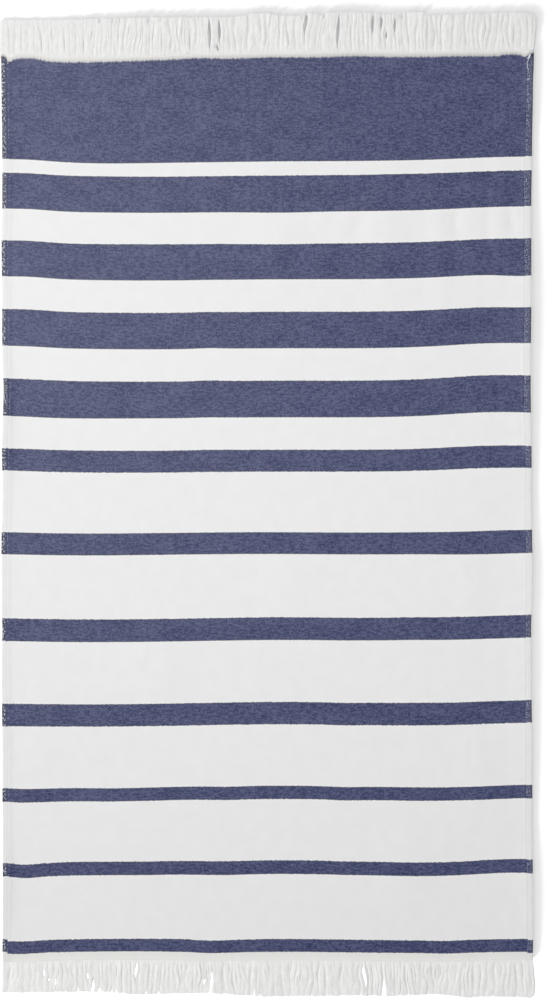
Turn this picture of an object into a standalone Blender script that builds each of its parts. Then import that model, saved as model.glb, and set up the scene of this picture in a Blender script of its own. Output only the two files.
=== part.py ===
# Striped beach towel, laid flat: one woven cloth with folded side hems, and a loose fringe at
# each end. Sizes are in metres. X runs across the towel, Y along it towards the widest band,
# which is called the head end, and Z is up from the surface that the towel lies on.

import math
from collections import namedtuple

import bmesh
import bpy
import numpy as np

# ---- driving sizes of the cloth ----
CLOTH_WIDTH = 0.906  # at its widest, by the head end
HEAD_END = 0.7670  # the cloth's ends, from the middle of its length
FOOT_END = -0.7735
CLOTH_THICKNESS = 0.0024
HEM_WIDTH = 0.0115  # each long edge is folded under once and stitched
HEM_EXTRA = 0.0012  # what the folded layer adds to the thickness
HEM_STEP = 0.0014  # width of the step down from hem to single cloth
HEM_ROUNDING = 0.0012  # how far in the fold's rounded edge reaches
HEM_EDGE_HEIGHT = 0.55  # height of the fold's outer edge, as a share of its thickness

# ---- driving sizes of the fringes ----
SEAM_GAP = 0.0003  # between the cloth's end and the strip that carries the fringe
STRIP_WIDTH = 0.0025
STRIP_THICKNESS = 0.0022
STRANDS = 120  # at each end
STRAND_SHARE = 0.90  # of the room between its neighbours, the part that a strand fills
SWAY_POWER = 1.5  # the strands sway more and more towards their tips
RAGGED = 0.0014  # how much neighbouring tips differ in reach
UNEVEN_PITCH = 0.12  # how far a root strays from its even place, in pitches
SEED = 7

# ---- how the mesh is divided ----
LONGEST_STEP = 0.063  # along the cloth, between the lines where its colour changes
COARSE_STEPS = 13  # across the plain part of the cloth
FINE_STEPS = 21  # across its rippled part
RIPPLED_FROM = 0.12  # where the rippled part starts

# ---- colours and finish ----
NAVY = (0.096, 0.110, 0.185)
WHITE = (0.83, 0.83, 0.82)
CREAM = (0.76, 0.755, 0.735)
CLOTH_ROUGHNESS = 0.9

# The navy bands, from the head end: upper edge and width.
Band = namedtuple("Band", "top width")
BANDS = (
    Band(0.7592, 0.1742),
    Band(0.5608, 0.0609),
    Band(0.4451, 0.0605),
    Band(0.3291, 0.0616),
    Band(0.2120, 0.0622),
    Band(0.0938, 0.0368),
    Band(-0.0475, 0.0371),
    Band(-0.1932, 0.0379),
    Band(-0.3378, 0.0376),
    Band(-0.4809, 0.0222),
    Band(-0.6075, 0.0227),
    Band(-0.7404, 0.0214),
)

# Where the weft, and so every band and both ends, bows towards the head end (+) or away (-).
Bow = namedtuple("Bow", "x y half_width half_length shift")
WEFT_BOWS = (
    Bow(-0.20, 0.45, 0.20, 0.60, -0.0036),
    Bow(0.47, 0.55, 0.16, 0.70, 0.0068),
    Bow(0.37, 0.22, 0.08, 0.34, 0.0024),
    Bow(0.15, 0.26, 0.13, 0.34, -0.0014),
    Bow(-0.47, 0.40, 0.08, 0.45, 0.0035),
    Bow(-0.33, 0.80, 0.11, 0.10, -0.0060),
    Bow(0.12, 0.80, 0.20, 0.10, 0.0025),
    Bow(-0.43, -0.58, 0.07, 0.15, -0.0045),
    Bow(0.02, -0.48, 0.12, 0.30, 0.0022),
    Bow(-0.12, -0.55, 0.06, 0.15, 0.0012),
    Bow(0.26, -0.62, 0.10, 0.20, -0.0020),
    Bow(-0.32, -0.25, 0.16, 0.30, -0.0022),
    Bow(0.47, -0.40, 0.09, 0.34, 0.0038),
    Bow(-0.24, -0.76, 0.12, 0.06, 0.0018),
    Bow(-0.08, -0.68, 0.05, 0.14, -0.0018),
)

# How far the left and the right edge draw in from the widest outline.
Inset = namedtuple("Inset", "y left right")
EDGE_INSETS = (
    Inset(-0.78, 0.0029, 0.0020),
    Inset(-0.50, 0.0034, 0.0034),
    Inset(-0.33, 0.0009, 0.0042),
    Inset(-0.20, 0.0020, 0.0046),
    Inset(-0.06, 0.0012, 0.0026),
    Inset(0.08, 0.0017, 0.0029),
    Inset(0.18, 0.0032, 0.0046),
    Inset(0.30, 0.0020, 0.0046),
    Inset(0.52, 0.0009, 0.0046),
    Inset(0.66, 0.0007, 0.0026),
    Inset(0.78, 0.0000, 0.0000),
)

# Soft ripples where the cloth stands off the surface. Each is an oval rise that fades to nothing.
Ripple = namedtuple("Ripple", "x y half_width half_length height")
RIPPLES = (
    Ripple(0.205, 0.47, 0.055, 0.17, 0.0030),
    Ripple(0.295, 0.45, 0.034, 0.19, 0.0032),
    Ripple(0.350, 0.47, 0.032, 0.16, 0.0030),
    Ripple(0.400, 0.46, 0.034, 0.20, 0.0034),
    Ripple(0.455, 0.30, 0.050, 0.36, 0.0038),
    Ripple(0.455, -0.25, 0.048, 0.34, 0.0034),
    Ripple(0.345, -0.14, 0.034, 0.13, 0.0022),
    Ripple(0.355, -0.44, 0.036, 0.11, 0.0020),
    Ripple(0.020, 0.44, 0.060, 0.12, 0.0018),
    Ripple(0.030, -0.14, 0.060, 0.11, 0.0016),
    Ripple(-0.190, -0.26, 0.080, 0.09, 0.0020),
    Ripple(-0.385, -0.41, 0.045, 0.08, 0.0018),
    Ripple(0.240, -0.62, 0.070, 0.09, 0.0020),
    Ripple(-0.455, 0.14, 0.040, 0.16, 0.0026),
    Ripple(-0.455, -0.64, 0.040, 0.10, 0.0024),
)

# How far the fringe's tips reach along Y, at places across the towel.
Reach = namedtuple("Reach", "x y")
HEAD_TIPS = (
    Reach(-0.455, 0.8265),
    Reach(-0.290, 0.8268),
    Reach(-0.220, 0.8290),
    Reach(-0.060, 0.8290),
    Reach(-0.008, 0.8362),
    Reach(0.038, 0.8311),
    Reach(0.070, 0.8365),
    Reach(0.091, 0.8318),
    Reach(0.137, 0.8385),
    Reach(0.199, 0.8338),
    Reach(0.250, 0.8380),
    Reach(0.295, 0.8318),
    Reach(0.347, 0.8353),
    Reach(0.434, 0.8366),
    Reach(0.4535, 0.8225),
)
FOOT_TIPS = (
    Reach(-0.455, -0.8302),
    Reach(-0.277, -0.8285),
    Reach(-0.224, -0.8335),
    Reach(-0.107, -0.8307),
    Reach(-0.005, -0.8370),
    Reach(0.160, -0.8352),
    Reach(0.208, -0.8362),
    Reach(0.290, -0.8330),
    Reach(0.339, -0.8387),
    Reach(0.378, -0.8368),
    Reach(0.455, -0.8387),
)

# Where the fringe parts: place, how wide, how far along the strands it is widest, over what
# share of their length.
Parting = namedtuple("Parting", "x width along spread")
HEAD_PARTINGS = (
    Parting(-0.098, 0.0036, 0.60, 0.60),
    Parting(-0.081, 0.0034, 0.95, 0.50),
    Parting(0.060, 0.0036, 0.95, 0.40),
    Parting(0.1195, 0.0046, 0.75, 0.70),
    Parting(0.179, 0.0040, 0.95, 0.45),
    Parting(0.218, 0.0038, 0.70, 0.35),
)
FOOT_PARTINGS = (
    Parting(-0.300, 0.0044, 0.95, 0.40),
    Parting(-0.224, 0.0042, 0.30, 0.30),
    Parting(-0.0965, 0.0038, 0.85, 0.70),
    Parting(0.1637, 0.0044, 0.35, 0.40),
    Parting(0.196, 0.0050, 0.90, 0.45),
)
PARTING_REACH = 0.024  # how far to each side the strands are pushed together

# A strand's sections, from root to tip: share of its length, thickness, top width to foot width.
Section = namedtuple("Section", "share thickness top_share")
STRAND_SECTIONS = (
    Section(0.00, STRIP_THICKNESS, 1.00),
    Section(0.30, 0.0032, 0.62),
    Section(0.68, 0.0030, 0.58),
    Section(1.00, 0.0019, 0.66),
)

# How the strands sway sideways at their tips, as waves across the towel.
Wave = namedtuple("Wave", "length sway phase")
HEAD_SWAY = (Wave(0.310, 0.0032, 0.4), Wave(0.097, 0.0018, 1.9), Wave(0.041, 0.0010, 0.2))
FOOT_SWAY = (Wave(0.270, 0.0028, 2.6), Wave(0.083, 0.0019, 0.7), Wave(0.037, 0.0010, 4.1))
SWAY_FADE = 0.012  # the sway dies out this far from the towel's long edges
CORNER_SPREAD = 0.0030  # how far the outermost strands on the right lean out

# The two ends: which way the strands run, and where the cloth stops.
End = namedtuple("End", "name way y tips partings sway")
ENDS = (
    End("fringe_head", 1, HEAD_END, HEAD_TIPS, HEAD_PARTINGS, HEAD_SWAY),
    End("fringe_foot", -1, FOOT_END, FOOT_TIPS, FOOT_PARTINGS, FOOT_SWAY),
)

# A piece before it is an object: its points, its faces, its colours, and each face's colour.
Shape = namedtuple("Shape", "name points faces colours paint")


def smoothstep(t):
    """0 below 0, 1 above 1, and 3t² - 2t³ between."""
    t = np.clip(t, 0.0, 1.0)
    return t * t * (3.0 - 2.0 * t)


def eased(rows, column, at, along="y"):
    """A table's column at any place, eased from each row to the next by smoothstep."""
    places = np.array([getattr(row, along) for row in rows])
    values = np.array([getattr(row, column) for row in rows])
    at = np.asarray(at, float)
    row = np.clip(np.searchsorted(places, at) - 1, 0, len(rows) - 2)
    share = smoothstep((at - places[row]) / (places[row + 1] - places[row]))
    return values[row] + (values[row + 1] - values[row]) * share


def weft_shift(x, y):
    """How far the weft lies towards the head end: a sum of Gaussian bows."""
    return sum(
        bow.shift
        * np.exp(-(((x - bow.x) / bow.half_width) ** 2) - ((y - bow.y) / bow.half_length) ** 2)
        for bow in WEFT_BOWS
    )


def lift(x, y):
    """How far the cloth stands off the surface: the tallest ripple there, each h(1 - r²)²."""
    rises = []
    for ripple in RIPPLES:
        across = (x - ripple.x) / ripple.half_width
        along = (y - ripple.y) / ripple.half_length
        inside = np.clip(1.0 - across**2 - along**2, 0.0, None)
        rises.append(ripple.height * inside**2)
    return np.maximum.reduce(rises)


def left_edge(y):
    return -CLOTH_WIDTH / 2 + eased(EDGE_INSETS, "left", y)


def right_edge(y):
    return CLOTH_WIDTH / 2 - eased(EDGE_INSETS, "right", y)


def cloth_thickness(from_edge):
    """Thick over the hem and thin past it, with the fold's outer edge rounded down."""
    step = smoothstep((from_edge - HEM_WIDTH) / HEM_STEP)
    rounding = smoothstep(from_edge / HEM_ROUNDING)
    share = HEM_EDGE_HEIGHT + (1.0 - HEM_EDGE_HEIGHT) * rounding
    return (CLOTH_THICKNESS + HEM_EXTRA * (1.0 - step)) * share


def lines_along():
    """Stations along the cloth, from foot to head, with one at each edge of each band."""
    stops = [FOOT_END, HEAD_END]
    for band in BANDS:
        stops += [band.top, band.top - band.width]
    stops.sort()
    lines = [stops[0]]
    for start, end in zip(stops, stops[1:]):
        steps = math.ceil((end - start) / LONGEST_STEP)
        lines += [start + (end - start) * step / steps for step in range(1, steps + 1)]
    return np.array(lines)


def shares_across():
    """Stations between the two hems, as shares of that width: finer where it ripples."""
    turn = (RIPPLED_FROM + CLOTH_WIDTH / 2) / CLOTH_WIDTH
    coarse = [turn * step / COARSE_STEPS for step in range(1, COARSE_STEPS)]
    fine = [turn + (1.0 - turn) * step / FINE_STEPS for step in range(FINE_STEPS)]
    return coarse + fine


def is_navy(v):
    return any(band.top - band.width < v < band.top for band in BANDS)


def towel_cloth():
    """A closed sheet: its underside follows the lift, and its top stands the thickness above."""
    along = lines_along()
    left, right = left_edge(along), right_edge(along)
    hem = (0.0, HEM_ROUNDING, HEM_WIDTH, HEM_WIDTH + HEM_STEP)
    plain = right - left - 2 * hem[-1]
    x = np.array(
        [left + inset for inset in hem]
        + [left + hem[-1] + plain * share for share in shares_across()]
        + [right - inset for inset in reversed(hem)]
    )
    v = np.broadcast_to(along, x.shape)
    y = v + weft_shift(x, v)
    under = lift(x, v)
    over = under + cloth_thickness(np.minimum(x - left, right - x))
    layers = [np.stack([x, y, z], axis=-1).reshape(-1, 3) for z in (under, over)]
    points = np.concatenate(layers)

    low = np.arange(x.size).reshape(x.shape)
    cells = np.stack([low[:-1, :-1], low[1:, :-1], low[1:, 1:], low[:-1, 1:]], axis=-1)
    border = np.concatenate([low[:-1, 0], low[-1, :-1], low[:0:-1, -1], low[0, :0:-1]])
    after = np.roll(border, -1)
    walls = np.stack([border, after, after + x.size, border + x.size], axis=-1)
    faces = np.concatenate([
        cells.reshape(-1, 4) + x.size,
        cells[..., ::-1].reshape(-1, 4),
        walls,
    ])
    middles = points[faces][:, :, 1].mean(axis=1)
    middles -= weft_shift(points[faces][:, :, 0].mean(axis=1), middles)
    paint = [int(is_navy(v)) for v in middles]
    colours = (("cloth_white", WHITE), ("cloth_navy", NAVY))
    return Shape("towel_cloth", points, faces, colours, paint)


def strand_middles(end, roots, shares):
    """Where each strand's middle lies across the towel at each section.

    It starts at its root. A sum of sine waves sways it, growing as a power of s, and each
    parting pushes it aside by a Gaussian of s, fading to both sides. The sway dies out at the
    towel's long edges.
    """
    roots, s = roots[:, None], np.asarray(shares)[None, :]
    edge = CLOTH_WIDTH / 2
    fade = 1.0 - np.exp(-((edge - np.abs(roots)) / SWAY_FADE))
    turns = 2 * math.pi * roots
    sway = sum(wave.sway * np.sin(turns / wave.length + wave.phase) for wave in end.sway)
    middles = roots + fade * sway * s**SWAY_POWER
    for parting in end.partings:
        away = roots - parting.x
        push = parting.width / 2 * np.sign(away) * np.exp(-np.abs(away) / PARTING_REACH)
        middles = middles + push * np.exp(-(((s - parting.along) / parting.spread) ** 2))
    return middles + CORNER_SPREAD * s * np.exp(-(edge - roots) / SWAY_FADE)


def strand_widths(middles):
    """A strand fills its share of the room to its nearer neighbour, so that none ever meet."""
    rooms = np.diff(middles, axis=0)
    nearer = np.minimum(np.vstack([rooms[:1], rooms]), np.vstack([rooms, rooms[-1:]]))
    return STRAND_SHARE * nearer


def fringe(end):
    """A narrow strip along the cloth's end, with the strands grown out of its outer wall.

    The strip is a run of four-cornered rings across the towel, with a pair of rings at each
    strand. Between the two rings of a pair its outer wall is left open, and the strand goes
    on from there: four-sided, flat underneath, rounded off on top, and level on the surface.
    """
    draw = np.random.default_rng(SEED + end.way)
    left, right = float(left_edge(end.y)), float(right_edge(end.y))
    pitch = (right - left) / STRANDS
    roots = left + pitch * (np.arange(STRANDS) + 0.5)
    roots += draw.uniform(-UNEVEN_PITCH, UNEVEN_PITCH, STRANDS) * pitch
    middles = strand_middles(end, roots, [section.share for section in STRAND_SECTIONS])
    widths = strand_widths(middles)

    def seam(x):
        return end.y + weft_shift(x, end.y) + end.way * SEAM_GAP

    half_roots = np.outer(widths[:, 0] / 2, (-1.0, 1.0))
    stations = np.concatenate([[left], (middles[:, :1] + half_roots).ravel(), [right]])
    inner, outer = seam(stations), seam(stations) + end.way * STRIP_WIDTH
    floor, top = np.zeros_like(stations), np.full_like(stations, STRIP_THICKNESS)
    rings = np.stack([
        np.stack([stations, outer, floor], axis=-1),
        np.stack([stations, outer, top], axis=-1),
        np.stack([stations, inner, top], axis=-1),
        np.stack([stations, inner, floor], axis=-1),
    ], axis=1)
    points = rings.reshape(-1, 3).tolist()
    faces = [(0, 1, 2, 3), tuple(4 * (len(stations) - 1) + corner for corner in (3, 2, 1, 0))]
    for station in range(len(stations) - 1):
        here, there = 4 * station, 4 * station + 4
        first_side = 1 if station % 2 else 0  # side 0 is the outer wall
        for side in range(first_side, 4):
            after = (side + 1) % 4
            faces.append((here + side, there + side, there + after, here + after))

    ragged = draw.uniform(-RAGGED, RAGGED, STRANDS)
    tips = eased(end.tips, "y", roots, along="x") + ragged
    starts = seam(roots) + end.way * STRIP_WIDTH
    for strand in range(STRANDS):
        left_foot = 4 * (2 * strand + 1)
        ring = [left_foot, left_foot + 4, left_foot + 5, left_foot + 1]
        for place, section in enumerate(STRAND_SECTIONS[1:], start=1):
            x, half = middles[strand, place], widths[strand, place] / 2
            y = starts[strand] + section.share * (tips[strand] - starts[strand])
            half_top = half * section.top_share
            nearer_ring = ring
            ring = list(range(len(points), len(points) + 4))
            points += [
                (x - half, y, 0.0),
                (x + half, y, 0.0),
                (x + half_top, y, section.thickness),
                (x - half_top, y, section.thickness),
            ]
            for side in range(4):
                after = (side + 1) % 4
                faces.append((nearer_ring[side], nearer_ring[after], ring[after], ring[side]))
        faces.append(tuple(ring))
    colours = (("fringe_yarn", CREAM),)
    return Shape(end.name, np.array(points), faces, colours, [0] * len(faces))


def woven_material(name, colour):
    material = bpy.data.materials.get(name) or bpy.data.materials.new(name)
    material.use_nodes = True
    shader = material.node_tree.nodes["Principled BSDF"]
    shader.inputs["Base Color"].default_value = (*colour, 1.0)
    shader.inputs["Roughness"].default_value = CLOTH_ROUGHNESS
    shader.inputs["Metallic"].default_value = 0.0
    return material


def add_piece(shape, middle):
    """One named object from a shape, moved so that the towel's middle is the origin."""
    mesh = bpy.data.meshes.new(shape.name)
    faces = [tuple(map(int, face)) for face in shape.faces]
    mesh.from_pydata((shape.points - middle).tolist(), [], faces)
    for name, colour in shape.colours:
        mesh.materials.append(woven_material(name, colour))
    mesh.polygons.foreach_set("material_index", shape.paint)
    work = bmesh.new()
    work.from_mesh(mesh)
    bmesh.ops.recalc_face_normals(work, faces=work.faces)
    work.to_mesh(mesh)
    work.free()
    piece = bpy.data.objects.new(shape.name, mesh)
    bpy.context.scene.collection.objects.link(piece)


def main():
    for old in list(bpy.data.objects):
        bpy.data.objects.remove(old, do_unlink=True)
    shapes = [towel_cloth()] + [fringe(end) for end in ENDS]
    everything = np.concatenate([shape.points for shape in shapes])
    lowest, highest = everything.min(axis=0), everything.max(axis=0)
    middle = (lowest + highest) / 2
    middle[2] = lowest[2]
    for shape in shapes:
        add_piece(shape, middle)


main()
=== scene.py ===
# Striped beach towel, laid flat and seen from straight above. Sizes are in metres.
# X runs across the towel, Y along it towards the widest band (the head end), and Z is up.

import math

import bpy
import numpy as np
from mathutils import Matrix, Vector


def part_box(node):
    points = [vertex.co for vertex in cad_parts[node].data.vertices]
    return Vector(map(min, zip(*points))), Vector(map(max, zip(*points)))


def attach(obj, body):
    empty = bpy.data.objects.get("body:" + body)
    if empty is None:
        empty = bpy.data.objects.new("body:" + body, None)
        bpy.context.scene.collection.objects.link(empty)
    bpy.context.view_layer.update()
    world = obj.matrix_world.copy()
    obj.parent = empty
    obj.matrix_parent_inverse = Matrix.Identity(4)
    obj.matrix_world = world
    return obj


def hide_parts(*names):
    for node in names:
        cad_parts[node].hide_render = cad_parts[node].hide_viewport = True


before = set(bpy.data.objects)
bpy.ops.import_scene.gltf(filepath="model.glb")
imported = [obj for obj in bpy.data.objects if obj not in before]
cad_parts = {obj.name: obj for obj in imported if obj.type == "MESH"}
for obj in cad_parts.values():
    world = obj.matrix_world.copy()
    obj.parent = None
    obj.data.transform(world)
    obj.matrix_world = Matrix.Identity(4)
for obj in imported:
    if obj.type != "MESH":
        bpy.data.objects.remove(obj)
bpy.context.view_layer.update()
print("frame loaded:", ", ".join(sorted(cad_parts)))


# the towel's own sizes, the same as its solids have, and the bands, bows and ripples it lies in

towel = {
    "width": 0.906,
    "headEnd": 0.7670,
    "footEnd": -0.7735,
    "headPicks": 0.0006,  # how far the woven headers run on past the solid's ends
    "footPicks": 0.0028,
    "thickness": 0.0024,
    "hemExtra": 0.0005,  # what the folded layer adds
    "hemTurned": 0.012,  # how much of the cloth each hem folds under
    "hemPastStitch": 0.0008,  # from the stitching to the folded layer's inner edge
    "hemStep": 0.0068,
    "hemSag": 0.0003,  # the single cloth comes down from the hem this high ...
    "hemSagLength": 0.0060,  # ... and over this length
    "foldRadius": 0.0008,
    "foldMiddle": 0.42,  # height of the fold's outermost line, as a share of the hem's
    "endRadius": 0.0014,
    "endHeight": 0.8,  # height of the woven ends, as a share of the cloth's
    # navy bands from the head end: upper edge, width
    "bands": [
        (0.7597, 0.1748), (0.5613, 0.0615), (0.4457, 0.0611), (0.3295, 0.0622),
        (0.2122, 0.0626), (0.0943, 0.0374), (-0.0473, 0.0374), (-0.1926, 0.0387),
        (-0.3374, 0.0382), (-0.4805, 0.0227), (-0.6070, 0.0232), (-0.7402, 0.0218),
    ],
    # where the weft bows towards the head end (+) or away (-): x, y, half width, half length, shift
    "bows": [
        (-0.20, 0.45, 0.20, 0.60, -0.0036), (0.47, 0.55, 0.16, 0.70, 0.0068),
        (0.37, 0.22, 0.08, 0.34, 0.0024), (0.15, 0.26, 0.13, 0.34, -0.0014),
        (-0.47, 0.40, 0.08, 0.45, 0.0035), (-0.33, 0.80, 0.11, 0.10, -0.0060),
        (0.12, 0.80, 0.20, 0.10, 0.0025), (-0.43, -0.58, 0.07, 0.15, -0.0045),
        (0.02, -0.48, 0.12, 0.30, 0.0022), (-0.12, -0.55, 0.06, 0.15, 0.0012),
        (0.26, -0.62, 0.10, 0.20, -0.0020), (-0.32, -0.25, 0.16, 0.30, -0.0022),
        (0.47, -0.40, 0.09, 0.34, 0.0038), (-0.24, -0.76, 0.12, 0.06, 0.0018),
        (-0.08, -0.68, 0.05, 0.14, -0.0018),
    ],
    # smaller bows, which the solids leave out
    "smallBows": [
        (-0.405, 0.450, 0.045, 0.220, 0.0024), (-0.402, 0.765, 0.016, 0.030, 0.0022),
        (-0.362, 0.765, 0.022, 0.030, -0.0014), (-0.440, 0.765, 0.0075, 0.016, -0.0062),
        (-0.285, 0.592, 0.090, 0.014, -0.0022), (0.021, 0.480, 0.065, 0.055, -0.0024),
        (0.429, 0.375, 0.045, 0.045, -0.0034), (0.370, 0.180, 0.100, 0.080, 0.0019),
        (0.400, -0.095, 0.090, 0.040, -0.0034), (-0.150, -0.070, 0.220, 0.050, 0.0016),
        (0.400, -0.620, 0.060, 0.050, 0.0022), (-0.410, -0.620, 0.020, 0.050, -0.0016),
        (-0.420, -0.750, 0.030, 0.040, -0.0022), (-0.102, -0.745, 0.025, 0.030, -0.0014),
        (0.302, -0.750, 0.030, 0.030, -0.0014), (0.131, -0.450, 0.030, 0.200, -0.0010),
        (-0.070, -0.490, 0.030, 0.040, -0.0010), (0.150, 0.765, 0.040, 0.030, 0.0018),
        (0.388, 0.765, 0.045, 0.030, -0.0018), (0.4365, 0.765, 0.0085, 0.016, -0.0040),
        (-0.100, 0.240, 0.030, 0.120, 0.0014), (-0.360, 0.155, 0.100, 0.030, -0.0012),
        (-0.125, 0.755, 0.036, 0.012, 0.0024), (0.003, 0.755, 0.024, 0.012, 0.0016),
        (-0.395, 0.755, 0.040, 0.012, 0.0010), (0.415, 0.757, 0.020, 0.012, 0.0020),
        (-0.200, 0.445, 0.110, 0.020, 0.0007), (0.245, 0.560, 0.080, 0.020, 0.0008),
        (-0.437, -0.612, 0.014, 0.040, 0.0014), (-0.437, -0.490, 0.014, 0.030, 0.0012),
        (-0.265, -0.490, 0.050, 0.030, -0.0011), (0.210, -0.490, 0.060, 0.030, 0.0007),
        (0.365, -0.355, 0.022, 0.030, 0.0008), (0.330, -0.066, 0.060, 0.040, -0.0011),
        (-0.095, 0.080, 0.050, 0.030, 0.0006), (0.010, -0.195, 0.060, 0.020, 0.0005),
        (0.245, -0.212, 0.040, 0.030, 0.0009),
    ],
    # how far the two long edges draw in: y, left, right
    "insets": [
        (-0.78, 0.0015, 0.0020), (-0.72, 0.0015, 0.0012), (-0.67, 0.0015, 0.0014),
        (-0.622, 0.0022, 0.0020), (-0.55, 0.0015, 0.0028), (-0.42, 0.0012, 0.0026),
        (-0.345, 0.0008, 0.0040), (-0.300, -0.0003, 0.0040), (-0.265, -0.0003, 0.0042),
        (-0.214, 0.0014, 0.0050), (-0.160, -0.0006, 0.0026), (-0.110, -0.0006, 0.0018),
        (-0.060, -0.0002, 0.0032), (0.000, 0.0010, 0.0036), (0.042, 0.0014, 0.0038),
        (0.093, 0.0006, 0.0042), (0.195, 0.0036, 0.0058), (0.246, 0.0008, 0.0054),
        (0.348, 0.0007, 0.0046), (0.450, -0.0001, 0.0046), (0.501, 0.0011, 0.0046),
        (0.603, 0.0009, 0.0032), (0.70, 0.0000, 0.0018), (0.756, -0.0008, 0.0002),
        (0.78, -0.0008, 0.0000),
    ],
    # oval rises where the cloth stands off the surface, lower and softer here than in the
    # solids: x, y, half width, half length, height
    "ripples": [
        (0.205, 0.47, 0.055, 0.17, 0.0010), (0.295, 0.45, 0.034, 0.19, 0.0008),
        (0.350, 0.47, 0.032, 0.16, 0.0008), (0.400, 0.46, 0.034, 0.20, 0.0008),
        (0.455, 0.30, 0.075, 0.36, 0.0022), (0.455, -0.25, 0.070, 0.34, 0.0017),
        (0.345, -0.14, 0.034, 0.13, 0.0009), (0.355, -0.44, 0.036, 0.11, 0.0009),
        (0.020, 0.44, 0.060, 0.12, 0.0010), (0.030, -0.14, 0.060, 0.11, 0.0009),
        (-0.190, -0.26, 0.080, 0.09, 0.0013), (-0.385, -0.41, 0.045, 0.08, 0.0009),
        (0.240, -0.62, 0.070, 0.09, 0.0011), (-0.455, 0.14, 0.040, 0.16, 0.0020),
        (-0.455, -0.64, 0.040, 0.10, 0.0018), (0.455, 0.70, 0.060, 0.14, 0.0012),
        (0.455, -0.68, 0.060, 0.16, 0.0014),
    ],
    "rippleBlend": 5.0,  # how sharply one ripple takes over from the next
    # in the hems the bands don't quite meet those beside them: y, shift at the left and right
    "hemShifts": [
        (-0.78, 0.0030, -0.0020), (-0.72, 0.0030, -0.0020), (-0.60, 0.0010, -0.0008),
        (-0.30, -0.0004, 0.0006), (0.10, 0.0004, -0.0004), (0.50, 0.0004, 0.0006),
        (0.68, 0.0008, 0.0006), (0.755, 0.0048, 0.0030), (0.78, 0.0048, 0.0030),
    ],
    # shares of the way from the fold to the stitching: where the shift ends, over how much it
    # fades, and beyond which they aren't counted
    "shiftUntil": 0.95,
    "shiftFade": 0.12,
    "farthestShare": 3.0,
}

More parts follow.
